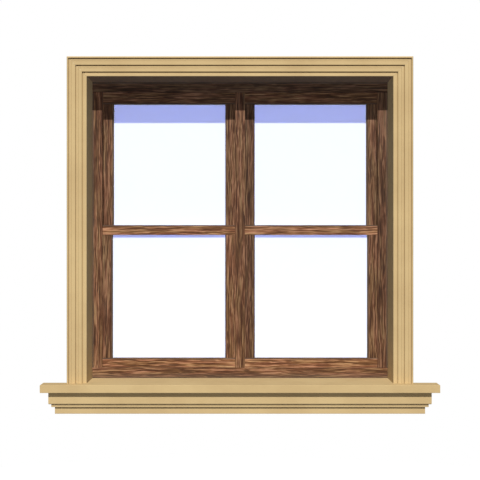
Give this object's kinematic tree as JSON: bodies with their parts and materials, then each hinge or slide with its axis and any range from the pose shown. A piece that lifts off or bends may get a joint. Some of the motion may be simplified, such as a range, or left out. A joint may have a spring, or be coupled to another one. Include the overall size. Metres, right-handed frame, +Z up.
{
  "type": "window surround",
  "caption": "Moulded window surround with a stepped architrave, a deep plain reveal and a projecting sill on a returned apron, framing a pair of timber sash windows whose lower sashes slide up.",
  "frame": {"origin": "centre of the sill apron's flat back, in the plane of the wall's face, midway across the window", "axes": "+X to the right seen from the front, +Y into the wall, +Z up; the front faces -Y"},
  "size_m": [1.547, 0.311, 1.396],
  "materials": {
    "cast_stone": "fine sand-coloured painted cast stone, matt",
    "timber": "dark brown stained timber with a strong streaky grain along each member, low sheen",
    "glass": "clear glass with a pale blue cast in shade"
  },
  "bodies": {
    "surround": {"surround_head": "cast_stone", "surround_jamb_left": "cast_stone", "surround_jamb_right": "cast_stone", "sill_cap": "cast_stone", "sill_apron": "cast_stone", "frame_head": "timber", "frame_sill": "timber", "frame_jamb_left": "timber", "frame_jamb_right": "timber", "frame_mullion": "timber", "left_outer_parting_bead": "timber", "left_inner_parting_bead": "timber", "right_outer_parting_bead": "timber", "right_inner_parting_bead": "timber", "left_upper_sash_top_rail": "timber", "left_upper_sash_bottom_rail": "timber", "left_upper_sash_outer_stile": "timber", "left_upper_sash_inner_stile": "timber", "left_upper_sash_pane": "glass", "right_upper_sash_top_rail": "timber", "right_upper_sash_bottom_rail": "timber", "right_upper_sash_outer_stile": "timber", "right_upper_sash_inner_stile": "timber", "right_upper_sash_pane": "glass"},
    "left_lower_sash": {"left_lower_sash_top_rail": "timber", "left_lower_sash_bottom_rail": "timber", "left_lower_sash_outer_stile": "timber", "left_lower_sash_inner_stile": "timber", "left_lower_sash_pane": "glass"},
    "right_lower_sash": {"right_lower_sash_top_rail": "timber", "right_lower_sash_bottom_rail": "timber", "right_lower_sash_outer_stile": "timber", "right_lower_sash_inner_stile": "timber", "right_lower_sash_pane": "glass"}
  },
  "joints": [
    {"name": "left_lower_sash_slide", "type": "slide", "parent": "surround", "child": "left_lower_sash", "axis": [0, 0, 1], "range_m": [0, 0.54]},
    {"name": "right_lower_sash_slide", "type": "slide", "parent": "surround", "child": "right_lower_sash", "axis": [0, 0, 1], "range_m": [0, 0.54]}
  ]
}
